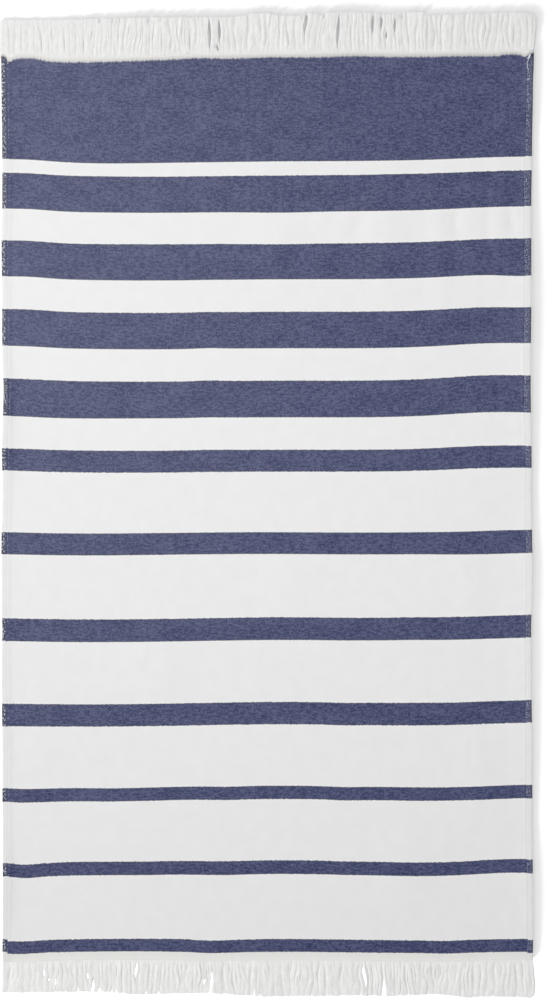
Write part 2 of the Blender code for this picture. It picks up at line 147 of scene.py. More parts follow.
# the finer lie of the cloth
relief = {
    "strength": 0.9,
    # x, y, lean to the right going up in degrees, half length, half width, depth (+ a ridge)
    "creases": [
        (0.158, 0.477, 29, 0.028, 0.010, -0.0010), (0.319, 0.476, 3, 0.026, 0.006, -0.0009),
        (0.414, 0.477, -20, 0.026, 0.006, -0.0010), (0.293, 0.476, 2, 0.026, 0.008, 0.0003),
        (0.344, 0.476, 0, 0.026, 0.008, 0.0003), (0.390, 0.476, 0, 0.026, 0.009, 0.0003),
        (0.009, 0.476, 2, 0.026, 0.005, -0.0004), (0.069, 0.476, 0, 0.022, 0.005, -0.0003),
        (0.009, 0.358, 0, 0.020, 0.004, -0.0003), (0.160, 0.358, 4, 0.018, 0.005, -0.0002),
        (0.222, 0.358, 0, 0.018, 0.005, -0.0003), (0.264, 0.362, -3, 0.024, 0.004, -0.0005),
        (0.245, 0.358, 0, 0.020, 0.006, 0.0003), (0.302, 0.241, 0, 0.022, 0.006, -0.0003),
        (0.339, 0.241, 0, 0.022, 0.005, -0.0002), (0.366, 0.242, 0, 0.022, 0.005, -0.0003),
        (0.426, 0.245, 5, 0.022, 0.006, -0.0003), (-0.161, 0.123, 0, 0.026, 0.0040, -0.0005),
        (-0.314, 0.123, 0, 0.022, 0.004, -0.0003), (-0.044, 0.127, 0, 0.018, 0.004, -0.0002),
        (0.334, 0.130, 6, 0.020, 0.008, -0.0006), (0.412, 0.123, 0, 0.024, 0.006, -0.0005),
        (0.434, 0.123, 0, 0.024, 0.005, -0.0004), (0.370, 0.123, 0, 0.024, 0.008, 0.0004),
        (-0.408, 0.110, 0, 0.012, 0.006, -0.0004), (-0.073, 0.028, 25, 0.026, 0.006, -0.0007),
        (0.026, 0.038, 0, 0.014, 0.005, -0.0002), (0.373, 0.038, 0, 0.014, 0.005, -0.0004),
        (-0.103, -0.035, 10, 0.010, 0.006, -0.0004), (-0.017, -0.125, 0, 0.036, 0.004, -0.0004),
        (0.016, -0.106, 0, 0.020, 0.004, -0.0006), (0.038, -0.128, 0, 0.030, 0.005, -0.0002),
        (0.348, -0.122, -12, 0.036, 0.0045, -0.0007), (0.281, -0.146, 60, 0.014, 0.008, -0.0003),
        (-0.204, -0.271, 48, 0.036, 0.007, -0.0007), (-0.226, -0.316, 0, 0.014, 0.006, -0.0002),
        (0.128, -0.265, 0, 0.007, 0.005, -0.0004), (0.026, -0.312, 0, 0.016, 0.004, -0.0004),
        (0.111, -0.282, 0, 0.020, 0.005, -0.0002), (0.412, -0.282, 0, 0.036, 0.006, -0.0004),
        (-0.382, -0.406, 0, 0.012, 0.008, -0.0009), (-0.257, -0.430, 0, 0.012, 0.008, -0.0008),
        (0.346, -0.428, 1, 0.042, 0.005, -0.0006), (0.335, -0.425, 1, 0.036, 0.006, 0.0003),
        (0.313, -0.438, 0, 0.008, 0.005, -0.0003), (-0.430, -0.396, 90, 0.014, 0.006, -0.0004),
        (-0.415, -0.430, 80, 0.022, 0.008, -0.0006), (0.315, -0.549, 60, 0.020, 0.007, -0.0009),
        (0.285, -0.525, 0, 0.014, 0.008, 0.0006), (0.375, -0.545, 0, 0.010, 0.006, -0.0004),
        (-0.124, -0.544, 0, 0.018, 0.004, 0.0003), (0.421, -0.554, 0, 0.030, 0.005, -0.0004),
        (-0.416, -0.687, 84, 0.024, 0.006, -0.0009), (0.048, -0.683, 20, 0.016, 0.005, -0.0004),
        (0.191, -0.695, 0, 0.020, 0.006, -0.0006), (0.140, -0.712, 30, 0.012, 0.010, -0.0005),
        (-0.187, -0.715, 70, 0.014, 0.006, -0.0008), (-0.223, -0.695, 110, 0.016, 0.006, -0.0003),
        (0.429, -0.687, -20, 0.026, 0.009, -0.0007), (0.348, -0.707, 0, 0.012, 0.006, -0.0003),
        (-0.282, 0.700, 0, 0.050, 0.008, -0.0005), (-0.401, 0.641, 10, 0.022, 0.012, -0.0006),
        (0.383, 0.640, 0, 0.034, 0.008, -0.0005), (0.293, 0.536, 0, 0.026, 0.007, -0.0004),
        (0.356, 0.538, 0, 0.026, 0.008, -0.0005), (-0.056, 0.630, -5, 0.044, 0.010, -0.0004),
        (-0.020, 0.722, 0, 0.030, 0.010, 0.0005), (0.160, 0.700, 8, 0.040, 0.010, -0.0004),
    ],
    # faint unevenness everywhere: a sum of waves, longer along the towel than across it
    "waves": 44,
    "shortest": 0.020,
    "longest": 0.110,
    "waveSlope": 0.0045,
    "stretchAlong": 2.2,
    "seed": 11,
    # puckers that the stitching draws in beside each hem
    "puckerLengths": [0.0135, 0.0210, 0.0370],
    "puckerPhases": (1.7, 2.1),  # from one wave to the next, and from one hem to the other
    "puckerHeight": 0.00016,
    "puckerReach": 0.015,
    # all this fades out towards the long edges and towards the woven ends
    "edgeFade": 0.004,
    "endFade": 0.006,
}

# where the stitching runs: y, its distance from the left and from the right edge
stitching = {
    "line": [
        (-0.77, 0.0086, 0.0094), (-0.74, 0.0086, 0.0092), (-0.61, 0.0108, 0.0094),
        (-0.49, 0.0102, 0.0101), (-0.35, 0.0104, 0.0098), (-0.21, 0.0096, 0.0090),
        (-0.07, 0.0104, 0.0102), (0.07, 0.0112, 0.0098), (0.18, 0.0106, 0.0108),
        (0.30, 0.0104, 0.0112), (0.41, 0.0096, 0.0112), (0.53, 0.0118, 0.0122),
        (0.67, 0.0112, 0.0104), (0.75, 0.0104, 0.0104), (0.78, 0.0096, 0.0050),
    ],
    "dip": 0.0002,
    "dipWidth": 0.0009,
    "pitch": 0.0040,
    "length": 0.0017,
    "lengthRange": (0.90, 1.06),
    "radius": 0.00030,
    "girth": (0.92, 1.08),
    "arch": 0.00022,
    # along a stitch, as shares: place, height in arches, thickness
    "sections": [
        (-0.50, -2.0, 0.75), (-0.30, 0.35, 1.0), (0.0, 1.0, 1.05), (0.30, 0.35, 1.0),
        (0.50, -2.0, 0.75),
    ],
    "sides": 6,
    "flatness": 0.85,
    "sunk": (0.0007, 0.0004),  # how unevenly deep they sit, left and right: some don't show
    "stray": 0.00010,
    "skew": 0.00040,
    "toneSpread": 0.03,
    "underDip": 0.00036,
    "underArch": 0.4,  # the stitches underneath are flatter ...
    "underGap": 0.0001,  # ... and stand this far off the cloth
    "fromEnds": 0.001,
    "seed": 5,
    # long loose threads at the corner by the head: from x, y to x, y, height, radius
    "tacks": [
        (0.4430, 0.7575, 0.4456, 0.7662, 0.0044, 0.00080),
        (0.4446, 0.7590, 0.4474, 0.7668, 0.0044, 0.00070),
        (0.4490, 0.7672, 0.4522, 0.7762, 0.0040, 0.00065),
        (0.4436, 0.7572, 0.4411, 0.7510, 0.0042, 0.00050),
        (0.4411, 0.7512, 0.4414, 0.7420, 0.0042, 0.00050),
        (0.4413, 0.7423, 0.4434, 0.7398, 0.0042, 0.00050),
        (0.4409, 0.7228, 0.4455, 0.7240, 0.0042, 0.00050),
    ],
}

grid = {
    "plainAcross": 164,  # even, so that every second line across takes in both edges
    # lines along each hem: round the fold in degrees, on the flat as shares of the way to the
    # stitching, across its dip, down from the folded layer, and the last one
    "foldTurns": [0.0, 22.5, 45.0, 67.5, 90.0],
    "flatShares": [0.35, 0.55, 0.75],
    "dipLines": [-0.0011, -0.0005, 0.0, 0.0005, 0.0011],
    "stepLines": [0.0, 0.0010, 0.0020, 0.0031, 0.0043, 0.0058, 0.0078],
    "lastLine": 0.0225,
    "alongStep": 0.00507,
    "endLines": [0.0, 0.0004, 0.0012, 0.0028],  # finer, where the woven ends are rounded off
    "underEvery": 2,  # the underside has every second one of the lines across
    "sharpest": 55.0,  # steeper edges than this stay sharp, in degrees
}


def smoothstep(t):  # 3t² - 2t³ from 0 to 1
    t = np.clip(t, 0.0, 1.0)
    return t * t * (3.0 - 2.0 * t)


def eased(rows, column, at):  # a table's column, eased from row to row by smoothstep
    table = np.array(rows)
    places, values = table[:, 0], table[:, column]
    at = np.asarray(at, float)
    row = np.clip(np.searchsorted(places, at) - 1, 0, len(places) - 2)
    share = smoothstep((at - places[row]) / (places[row + 1] - places[row]))
    return values[row] + (values[row + 1] - values[row]) * share


def wovenEnd(way):  # where the last pick lies, at the head (1) or the foot (-1)
    if way > 0:
        return towel["headEnd"] + towel["headPicks"]
    return towel["footEnd"] - towel["footPicks"]


def leftEdge(v):  # half the width out, less what the edge draws in
    return -towel["width"] / 2 + eased(towel["insets"], 1, v)


def rightEdge(v):  # the same on the other side
    return towel["width"] / 2 - eased(towel["insets"], 2, v)


def weftShift(x, v, bows=towel["bows"] + towel["smallBows"]):  # sum of Gaussian bows
    return sum(
        shift * np.exp(-((x - bowX) / halfWidth) ** 2 - ((v - bowY) / halfLength) ** 2)
        for bowX, bowY, halfWidth, halfLength, shift in bows
    )


def lift(x, v):  # soft maximum of ovals h(1 - r²)²
    p = towel["rippleBlend"]
    total = 0.0
    for ovalX, ovalY, halfWidth, halfLength, height in towel["ripples"]:
        inside = 1.0 - ((x - ovalX) / halfWidth) ** 2 - ((v - ovalY) / halfLength) ** 2
        total = total + (height * np.clip(inside, 0.0, None) ** 2) ** p
    return total ** (1.0 / p)


def creases(x, v):  # each a Gaussian across times (1 - (a/L)²)² along its own leaning line
    total = 0.0
    for lineX, lineY, lean, halfLength, halfWidth, depth in relief["creases"]:
        turn = math.radians(lean)
        dx, dy = x - lineX, v - lineY
        along = dx * math.sin(turn) + dy * math.cos(turn)
        across = dx * math.cos(turn) - dy * math.sin(turn)
        fade = np.clip(1.0 - (along / halfLength) ** 2, 0.0, None) ** 2
        total = total + depth * fade * np.exp(-((across / halfWidth) ** 2))
    return relief["strength"] * total


def unevenness(x, v):  # sum of sines of random direction, each as high as its length allows
    draw = np.random.default_rng(relief["seed"])
    total = 0.0
    for _ in range(relief["waves"]):
        length = relief["shortest"] * (relief["longest"] / relief["shortest"]) ** draw.random()
        turn, phase = draw.uniform(0, 2 * math.pi, 2)
        across, along = math.cos(turn), math.sin(turn) / relief["stretchAlong"]
        height = relief["waveSlope"] * length / (2 * math.pi) / math.sqrt(relief["waves"])
        total = total + height * np.sin(2 * math.pi * (across * x + along * v) / length + phase)
    return total


def puckers(v, d, stitch, side):  # short waves along the hem, strongest at the stitching
    byWave, bySide = relief["puckerPhases"]
    waves = sum(
        np.sin(2 * math.pi * v / length + byWave * number + bySide * side)
        for number, length in enumerate(relief["puckerLengths"])
    )
    return relief["puckerHeight"] * waves * np.exp(-(((d - stitch) / relief["puckerReach"]) ** 2))


def rounded(distance, radius):  # a quarter circle, from 0 at the edge to 1 a radius in
    inside = 1.0 - np.clip(distance / radius, 0.0, 1.0)
    return np.sqrt(1.0 - inside**2)


def heights(x, v):
    # The underside follows the lift, and past the hem comes down from the folded layer. The top
    # is one thickness above, more over the hem, dipped at the stitching, with the finer relief.
    fromLeft, fromRight = x - leftEdge(v), rightEdge(v) - x
    onLeft = fromLeft < fromRight
    d = np.minimum(fromLeft, fromRight)
    stitch = np.where(onLeft, eased(stitching["line"], 1, v), eased(stitching["line"], 2, v))
    pastHem = np.clip(d - stitch - towel["hemPastStitch"], 0.0, None)
    single = smoothstep(pastHem / towel["hemStep"])
    sag = towel["hemSag"] * np.exp(-pastHem / towel["hemSagLength"])
    atStitch = np.exp(-(((d - stitch) / stitching["dipWidth"]) ** 2))
    fromEnd = np.minimum(v - wovenEnd(-1), wovenEnd(1) - v)
    extra = towel["hemExtra"] * (1.0 - single) + sag * single
    whole = towel["thickness"] + extra - stitching["dip"] * atStitch
    finer = creases(x, v) + unevenness(x, v) + puckers(v, d, stitch, onLeft)
    fade = smoothstep(d / relief["edgeFade"]) * smoothstep(fromEnd / relief["endFade"])
    whole = whole + finer * fade
    middle = towel["foldMiddle"] * (towel["thickness"] + towel["hemExtra"])
    end = towel["endHeight"] + (1.0 - towel["endHeight"]) * rounded(fromEnd, towel["endRadius"])
    side = rounded(d, towel["foldRadius"])
    under = lift(x, v)
    top = under + middle + (whole - middle) * side * end
    bottom = under + middle * (1.0 - side) + sag * single + stitching["underDip"] * atStitch * side
    return top, bottom, d / stitch, onLeft


def hemLines(v, column):  # how far in each line of the hem lies: see the grid
    stitch = eased(stitching["line"], column, v)
    turns = np.radians(grid["foldTurns"])
    fold = [np.full_like(v, towel["foldRadius"] * (1.0 - math.cos(turn))) for turn in turns]
    flat = [stitch * share for share in grid["flatShares"]]
    dip = [stitch + offset for offset in grid["dipLines"]]
    down = [stitch + towel["hemPastStitch"] + offset for offset in grid["stepLines"]]
    return np.array(fold + flat + dip + down + [np.full_like(v, grid["lastLine"])])


def linesAlong():  # even steps between the finer ones at both ends
    foot, head = wovenEnd(-1), wovenEnd(1)
    rounding = np.array(grid["endLines"])
    steps = round((head - foot - 2 * rounding[-1]) / grid["alongStep"])
    plain = np.linspace(foot + rounding[-1], head - rounding[-1], steps + 1)[1:-1]
    return np.concatenate([foot + rounding, plain, head - rounding[::-1]])


cadLow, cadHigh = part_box("towel_cloth")
halfWidth = towel["width"] / 2
headBows = weftShift(np.linspace(-halfWidth, halfWidth, 400), towel["headEnd"], towel["bows"])
placeX = cadLow.x - float(leftEdge(towel["headEnd"]))
placeY = cadHigh.y - towel["headEnd"] - float(headBows.max())
place = np.array([placeX, placeY, 0.0])  # from the towel's own sizes to the frame


# meshes: points and faces as whole arrays, with the pattern's place at each corner of each face


def makePiece(name, points, faces, places, material, sharpest=None, values=None):
    mesh = bpy.data.meshes.new(name)
    rows = [row for group in faces for row in group.tolist()]
    mesh.from_pydata((points + place).tolist(), [], rows)
    layer = mesh.uv_layers.new(name="weave")
    corners = np.concatenate([group.reshape(-1, 2) for group in places])
    layer.uv.foreach_set("vector", corners.astype(np.float32).ravel())
    for key, numbers in (values or {}).items():
        attribute = mesh.attributes.new(key, "FLOAT", "POINT")
        attribute.data.foreach_set("value", np.asarray(numbers, np.float32))
    mesh.shade_smooth()
    if sharpest is not None:
        mesh.set_sharp_from_angle(angle=math.radians(sharpest))
    mesh.materials.append(material)
    piece = bpy.data.objects.new(name, mesh)
    bpy.context.scene.collection.objects.link(piece)
    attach(piece, "root")
    return piece


def tubes(paths, radii, sides, flatness, tilt=0.0):
    # Rings of a flattened circle carried along each path, square to it, turned about it by the
    # tilt, and closed at both ends. paths is (tubes, rings, 3), and radii and tilt are (tubes,
    # rings). Gives points, faces and their places.
    count, rings = radii.shape
    tilt = np.broadcast_to(tilt, radii.shape)[:, :, None]
    tangent = np.gradient(paths, axis=1)
    tangent /= np.linalg.norm(tangent, axis=2, keepdims=True)
    sideways = np.cross(tangent, (0.0, 0.0, 1.0))
    sideways /= np.linalg.norm(sideways, axis=2, keepdims=True)
    upwards = np.cross(sideways, tangent)
    sideways, upwards = (
        sideways * np.cos(tilt) + upwards * np.sin(tilt),
        upwards * np.cos(tilt) - sideways * np.sin(tilt),
    )
    turns = 2 * math.pi * (np.arange(sides) + 0.5) / sides
    circle = (
        sideways[:, :, None] * np.cos(turns)[:, None]
        + flatness * upwards[:, :, None] * np.sin(turns)[:, None]
    )
    points = paths[:, :, None] + radii[:, :, None, None] * circle
    number = np.arange(count * rings * sides).reshape(count, rings, sides)
    after = np.roll(number, -1, axis=2)
    walls = np.stack([number[:, :-1], number[:, 1:], after[:, 1:], after[:, :-1]], axis=-1)
    starts, ends = number[:, 0], number[:, -1, ::-1]
    run = np.linalg.norm(np.diff(paths, axis=1), axis=2)
    run = np.concatenate([np.zeros((count, 1)), np.cumsum(run, axis=1)], axis=1)
    turn = np.arange(sides + 1) / sides
    whole = np.stack(np.broadcast_arrays(turn, run[:, :, None]), axis=-1)
    wallPlaces = np.stack(
        [whole[:, :-1, :-1], whole[:, 1:, :-1], whole[:, 1:, 1:], whole[:, :-1, 1:]], axis=-2
    )
    startPlaces = whole[:, 0, :-1]
    endPlaces = whole[:, -1, :-1][:, ::-1]
    faces = [walls.reshape(-1, 4), starts, ends]
    return points.reshape(-1, 3), faces, [wallPlaces, startPlaces, endPlaces]


# shader nodes: a Wire is one output of a node, and arithmetic on wires adds Math nodes


class Wire:
    def __init__(self, tree, socket):
        self.tree, self.socket = tree, socket

    def add(self, kind, settings=None, inputs=None, output=0):
        node = self.tree.nodes.new(kind)
        for key, value in (settings or {}).items():
            setattr(node, key, value)
        for key, value in (inputs or {}).items():
            if isinstance(value, Wire):
                self.tree.links.new(value.socket, node.inputs[key])
            else:
                node.inputs[key].default_value = value
        return Wire(self.tree, node.outputs[output])

    def math(self, operation, *values):
        return self.add("ShaderNodeMath", {"operation": operation}, dict(enumerate(values)))

    def __add__(self, other):
        return self.math("ADD", self, other)

    def __radd__(self, other):
        return self.math("ADD", other, self)

    def __sub__(self, other):
        return self.math("SUBTRACT", self, other)

    def __rsub__(self, other):
        return self.math("SUBTRACT", other, self)

    def __mul__(self, other):
        return self.math("MULTIPLY", self, other)

    def __rmul__(self, other):
        return self.math("MULTIPLY", other, self)

    def __neg__(self):
        return self.math("MULTIPLY", self, -1.0)

    def __abs__(self):
        return self.math("ABSOLUTE", self)

    def most(self, other):
        return self.math("MAXIMUM", self, other)

    def cosine(self):
        return self.math("COSINE", self)

    def wave(self, pitch):  # a cosine that repeats after each pitch
        return (self * (2 * math.pi / pitch)).cosine()

    def fade(self, low, high):  # smoothly from 0 at low to 1 at high
        ends = {0: self, 1: low, 2: high, 3: 0.0, 4: 1.0}
        return self.add("ShaderNodeMapRange", {"interpolation_type": "SMOOTHSTEP"}, ends)

    def bell(self, middle, reach):  # 1 at the middle, and smoothly down to 0 a reach away
        return 1.0 - abs(self - middle).fade(0.0, reach)

    def part(self, output):  # one number of a vector
        return self.add("ShaderNodeSeparateXYZ", None, {0: self}, output)

    def noise(self, across, along, away=0.0, detail=2.0):
        # soft noise with this many blobs in a metre each way, read this far away in it
        scaled = self.add(
            "ShaderNodeVectorMath", {"operation": "MULTIPLY_ADD"},
            {0: self, 1: (across, along, 0.0), 2: (away, 0.37 * away, 0.0)},
        )
        inputs = {"Vector": scaled, "Scale": 1.0, "Detail": detail, "Roughness": 0.5}
        return self.add("ShaderNodeTexNoise", {"noise_dimensions": "2D"}, inputs)

    def mix(self, first, second):  # a colour, from the first at 0 to the second at 1
        inputs = {0: self, 6: first, 7: second}
        settings = {"data_type": "RGBA", "clamp_factor": True}
        return self.add("ShaderNodeMix", settings, inputs, 2)

    def tinted(self, amount):  # this colour times a number
        return self.add("ShaderNodeVectorMath", {"operation": "SCALE"}, {0: self, "Scale": amount})


def colour(red, green, blue):
    return (red, green, blue, 1.0)


def newMaterial(name, settings):
    material = bpy.data.materials.new(name)
    material.use_nodes = True
    shader = material.node_tree.nodes["Principled BSDF"]
    for key, value in settings.items():
        shader.inputs[key].default_value = value
    return material, shader


def patternPlace(material):  # the piece's own map: across and along the cloth, or round and along
    return Wire(material.node_tree, None).add("ShaderNodeUVMap", {"uv_map": "weave"})


def attribute(at, name):
    return at.add("ShaderNodeAttribute", {"attribute_name": name}, None, 2)


def bumps(at, strength, distance, height):
    inputs = {"Strength": strength, "Distance": distance, "Height": height}
    return at.add("ShaderNodeBump", None, inputs)


def connect(shader, **wires):
    for key, wire in wires.items():
        socket = shader.inputs[key.replace("_", " ")]
        wire.tree.links.new(wire.socket, socket)


# A noise is its blobs in a metre across and along, how far away it is read, and its detail, if
# that isn't 2. A fade is its two ends, and a bell is its middle and its reach.

clothLook = {
    "white": colour(0.835, 0.835, 0.835),
    "header": colour(0.800, 0.797, 0.775),
    "navyDark": colour(0.007, 0.016, 0.090),
    "navyLight": colour(0.084, 0.096, 0.199),
    "edgeLine": colour(0.050, 0.050, 0.066),
    "speckle": colour(0.60, 0.61, 0.67),
    "taupe": colour(0.115, 0.115, 0.150),
    "hemDark": colour(0.012, 0.014, 0.040),
    "specular": 0.5,
    "sheen": 0.03,
    "sheenRoughness": 0.5,
    "roughness": 0.52,
    "roughnessRange": 0.16,
    "warpPitch": 0.0021,
    "pickPitch": 0.0017,
    "wander": (90.0, 60.0, 3.1),
    "warpWander": 0.0012,
    "pickWander": 0.0010,
    "nap": (1500.0, 1500.0, 7.0, 2.0),
    "heights": (0.5, 0.5, 0.4),  # of the weave, the nap and the streaks
    "weaveHeight": 0.00016,
    "weaveStrength": 0.45,
    "stripes": {
        "byHead": (0.745, 0.755),  # the head's edge is fuzzier
        "fuzz": (0.00045, 0.0019),  # everywhere, and how much more by the head
        "teeth": (520.0, 60.0, 8.0, 1.0),
        "toothDepth": (0.0024, 0.0016),
        "fray": (900.0, 420.0, 4.0),
        "frayDepth": 0.0012,
        # heather: long and short streaks along the picks, and wide blots
        "streaks": (106.0, 260.0, 1.0, 2.4),
        "flecks": (310.0, 410.0, 6.0, 1.4),
        "blots": (22.0, 40.0, 9.0, 3.0),
        "shares": (1.9, 1.9, 0.8, 0.08),  # of the streaks, the flecks, the blots and the weave
        "line": (0.0009, 0.0012),  # a dark line inside each edge
        "lineShare": 0.55,
    },
    # across a hem, places are shares of the way from the fold to the stitching
    "hem": {
        "sides": (-0.1, 0.1),  # from the left hem to the right one
        "outer": (0.50, 0.66),
        "rim": (0.16, 0.34),
        "dots": (400.0, 330.0, 2.0, 1.0),
        "twillPitch": 0.0053,
        "twillLean": 1500.0,  # radians in a metre across
        "twillShare": 0.035,
        "darkLeft": 0.78,
        "taupeRight": 0.30,
        "rimDots": (0.44, 0.54),
        "rimDark": 0.8,
        "lightDots": (0.54, 0.64),
        "light": (0.24, 0.62),  # at the right, and how much more at the left
        "seam": (0.76, 0.26),
        "seamDots": (0.53, 0.63),
        "seamLight": 0.50,
        "stitch": (0.80, 0.16),
        "stitchDark": 0.45,
        # the dark corners by the head, and the notch in the band's edge beside each
        "corner": (0.50, 0.62),
        "cornerFrom": (0.7505, 0.7535),
        "cornerDark": 0.85,
        "notch": (1.12, 0.16),
        "notchAt": (0.7545, 0.0024),
        "notchDepth": 0.8,
        # small holes where the needle went in
        "holes": (1.0, 0.06),
        "holeLength": (0.6, 1.0),
        "holeDepth": (0.03, 0.47),  # in the white, and how much more in the navy
    },
    "plain": {
        "naps": (210.0, 190.0, 12.0, 1.0),
        "napsOver": (0.72, 0.80),
        "napTone": 0.020,
        "clouds": (46.0, 38.0, 5.0, 1.0),
        "cloudTone": 0.040,
        "streakTone": 0.012,
        "byHem": (0.9, 2.4),
        "hemTone": 0.030,
        "halo": (-0.0016, 0.0014),  # a lighter line outside each band
        "haloTone": 0.03,
        # the creamier header at each end with its fine ribs
        "headFrom": (0.7585, 0.7600),
        "footFrom": (0.7605, 0.7625),
        "ribPitch": 0.0026,
        "ribs": (0.2, 1.0),
        "ribDepth": 0.045,
        # a painted shade just above the top band, where the head's header starts
        "headShade": (-0.0026, 0.0044),
        "headShadeFrom": (0.7580, 0.7600),
        "headShadeDepth": 0.20,
        "headShadeTurn": 0.5,  # in a metre, deeper towards the right
        # at the foot it gets lighter in two steps
        "footSteps": [(0.7600, 0.7620, 0.020), (0.7640, 0.7755, 0.050)],
    },
}


def insideBands(at, v, byHead):
    # how far inside the nearest band, from edges with teeth and frayed threads
    look = clothLook["stripes"]
    least, more = look["toothDepth"]
    teeth = (at.noise(*look["teeth"]) - 0.5) * (least + byHead * more)
    frayed = v + teeth + (at.noise(*look["fray"]) - 0.5) * look["frayDepth"]
    inside = None
    for top, width in towel["bands"]:
        depth = width / 2 - abs(frayed - (top - width / 2))
        inside = depth if inside is None else inside.most(depth)
    return inside


def heather(at, inside, streaks, weave):
    # two shades of navy, mixed by a sum of noises and the weave, with a dark line inside each edge
    look = clothLook["stripes"]
    flecks = at.noise(*look["flecks"]) - 0.5
    blots = at.noise(*look["blots"]) - 0.5
    ofStreaks, ofFlecks, ofBlots, ofWeave = look["shares"]
    share = 0.5 + streaks * ofStreaks + flecks * ofFlecks + blots * ofBlots + weave * ofWeave
    navy = share.mix(clothLook["navyDark"], clothLook["navyLight"])
    line = inside.bell(*look["line"]) * look["lineShare"]
    return line.mix(navy, clothLook["edgeLine"])


def hemNavy(at, u, v, hem, navy):
    # the fold's outer strip shows light threads on dark at the left, and is dark-edged at the right
    look = clothLook["hem"]
    outer = 1.0 - hem.fade(*look["outer"])
    rim = 1.0 - hem.fade(*look["rim"])
    onLeft = 1.0 - u.fade(*look["sides"])
    dots = at.noise(*look["dots"])
    twill = (v * (2 * math.pi / look["twillPitch"]) + u * look["twillLean"]).cosine()
    navy = (outer * onLeft * look["darkLeft"]).mix(navy, clothLook["hemDark"])
    navy = (outer * (1.0 - onLeft) * look["taupeRight"]).mix(navy, clothLook["taupe"])
    darkRim = rim * (1.0 - onLeft) * dots.fade(*look["rimDots"]) * look["rimDark"]
    navy = darkRim.mix(navy, clothLook["hemDark"])
    right, more = look["light"]
    light = (dots + twill * look["twillShare"]).fade(*look["lightDots"]) * (right + onLeft * more)
    navy = (outer * light).mix(navy, clothLook["speckle"])
    besideSeam = hem.bell(*look["seam"]) * (1.0 - onLeft) * dots.fade(*look["seamDots"])
    navy = (besideSeam * look["seamLight"]).mix(navy, clothLook["speckle"])
    besideStitch = hem.bell(*look["stitch"]) * onLeft
    navy = (besideStitch * look["stitchDark"]).mix(navy, clothLook["hemDark"])
    corner = (1.0 - hem.fade(*look["corner"])) * v.fade(*look["cornerFrom"])
    return (corner * look["cornerDark"]).mix(navy, clothLook["hemDark"])


def plainCloth(at, u, v, hem, inside, streaks):
    # White or header, times tones: clouds, streaks and naps, darker beside the hem, darker by a
    # painted shade where the head's header starts, lighter outside the bands and towards the foot,
    # and ribs in a header.
    look = clothLook["plain"]
    naps = at.noise(*look["naps"]).fade(*look["napsOver"])
    clouds = at.noise(*look["clouds"]) - 0.5
    tone = 1.0 + clouds * look["cloudTone"] + streaks * look["streakTone"] - naps * look["napTone"]
    tone = tone - (1.0 - hem.fade(*look["byHem"])) * look["hemTone"]
    headers = v.fade(*look["headFrom"]).most((-v).fade(*look["footFrom"]))
    ribs = v.wave(look["ribPitch"]).fade(*look["ribs"]) * look["ribDepth"]
    halo = 1.0 + inside.bell(*look["halo"]) * look["haloTone"]
    # painted shade above the head's band, deeper towards the right
    paintedHeadShade = inside.bell(*look["headShade"]) * v.fade(*look["headShadeFrom"])
    paintedHeadShade = paintedHeadShade * (1.0 + u * look["headShadeTurn"]) * look["headShadeDepth"]
    atFoot = sum((-v).fade(start, end) * step for start, end, step in look["footSteps"])
    plain = headers.mix(clothLook["white"], clothLook["header"])
    return plain.tinted(tone * halo * (1.0 - headers * ribs) * (1.0 - paintedHeadShade + atFoot))


def clothMaterial():
    # navy where the place is inside a band and white elsewhere, darker in the needle's holes
    look, stripes, hemmed = clothLook, clothLook["stripes"], clothLook["hem"]
    material, shader = newMaterial("striped_cloth", {
        "Specular IOR Level": look["specular"],
        "Sheen Weight": look["sheen"],
        "Sheen Roughness": look["sheenRoughness"],
    })
    at = patternPlace(material)
    u, v, hem = at.part(0), at.part(1), attribute(at, "hem")

    # plain weave: threads over and under each other in a chequer, a little uneven
    wander = at.noise(*look["wander"]) - 0.5
    warp = (u + wander * look["warpWander"]).wave(look["warpPitch"])
    weave = warp * (v + wander * look["pickWander"]).wave(look["pickPitch"])

    byHead = v.fade(*stripes["byHead"])
    inside = insideBands(at, v, byHead)
    least, more = stripes["fuzz"]
    fuzz = least + byHead * more
    notch = hem.bell(*hemmed["notch"]) * v.bell(*hemmed["notchAt"])
    isNavy = inside.fade(-fuzz, fuzz) * (1.0 - notch * hemmed["notchDepth"])

    streaks = at.noise(*stripes["streaks"]) - 0.5
    navy = hemNavy(at, u, v, hem, heather(at, inside, streaks, weave))
    plain = plainCloth(at, u, v, hem, inside, streaks)
    holes = hem.bell(*hemmed["holes"]) * v.wave(stitching["pitch"]).fade(*hemmed["holeLength"])
    inWhite, moreInNavy = hemmed["holeDepth"]
    whole = isNavy.mix(plain, navy).tinted(1.0 - holes * (inWhite + isNavy * moreInNavy))

    nap = at.noise(*look["nap"])
    ofWeave, ofNap, ofStreaks = look["heights"]
    height = weave * ofWeave + nap * ofNap + streaks * ofStreaks
    bump = bumps(at, look["weaveStrength"], look["weaveHeight"], height)
    roughness = look["roughness"] + (nap - 0.5) * look["roughnessRange"]
    connect(shader, Base_Color=whole, Roughness=roughness, Normal=bump)
    return material


